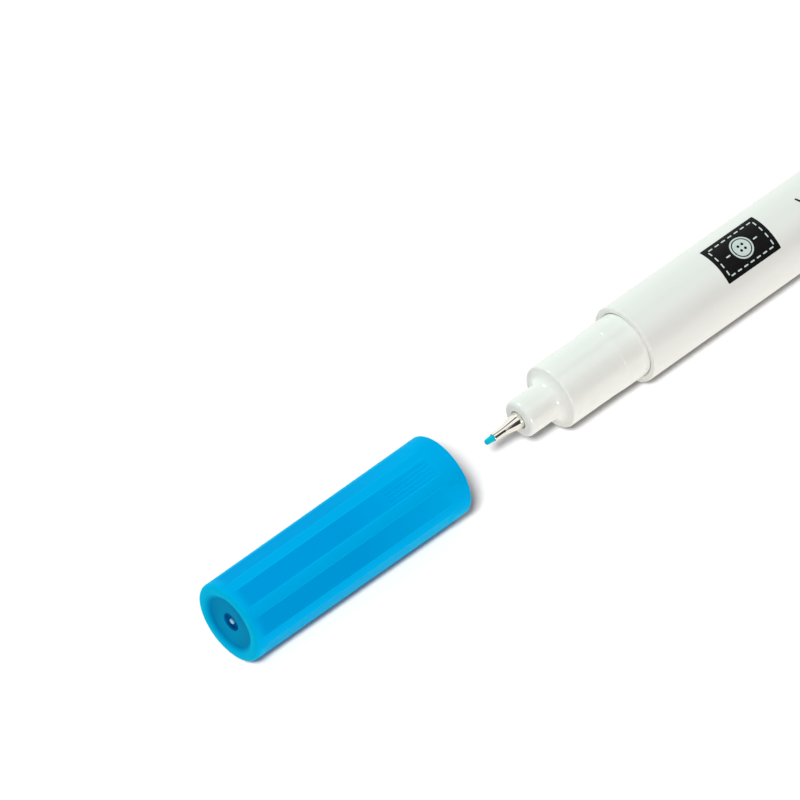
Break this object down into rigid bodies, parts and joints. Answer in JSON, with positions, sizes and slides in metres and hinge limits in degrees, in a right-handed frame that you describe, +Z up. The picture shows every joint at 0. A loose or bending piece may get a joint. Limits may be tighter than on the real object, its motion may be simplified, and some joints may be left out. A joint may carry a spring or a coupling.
{
  "type": "water-soluble fabric marker",
  "caption": "Slim fibre-tip pen for temporary marks on fabric, shown with its long faceted pull-off cap lying in line ahead of the fine nib.",
  "frame": {"origin": "on the surface that the marker lies on, under the middle of pen and laid-off cap together", "axes": "+X along the pen from the nib to the rear plug, +Z up from the surface, +Y to the left seen from the nib towards the rear"},
  "size_m": [0.166, 0.01, 0.0099],
  "materials": {
    "white_plastic": "glossy white polypropylene",
    "blue_plastic": "glossy translucent blue polypropylene",
    "soft_plastic": "natural polyethylene, satin",
    "polished_steel": "polished drawn metal",
    "inked_tip": "extruded tip wet with blue ink",
    "inked_fibre": "bonded fibre soaked with blue ink",
    "clear_film": "thin clear film"
  },
  "bodies": {
    "pen": {"barrel": "white_plastic", "grip_section": "white_plastic", "tip_ferrule": "polished_steel", "nib": "inked_tip", "ink_reservoir": "inked_fibre", "reservoir_film": "clear_film", "rear_plug": "blue_plastic"},
    "cap": {"cap_shell": "blue_plastic", "cap_sleeve": "soft_plastic"}
  },
  "joints": [
    {"name": "cap_slide", "type": "slide", "parent": "pen", "child": "cap", "axis": [1, 0, 0], "range_m": [-0.015, 0.0275]}
  ]
}
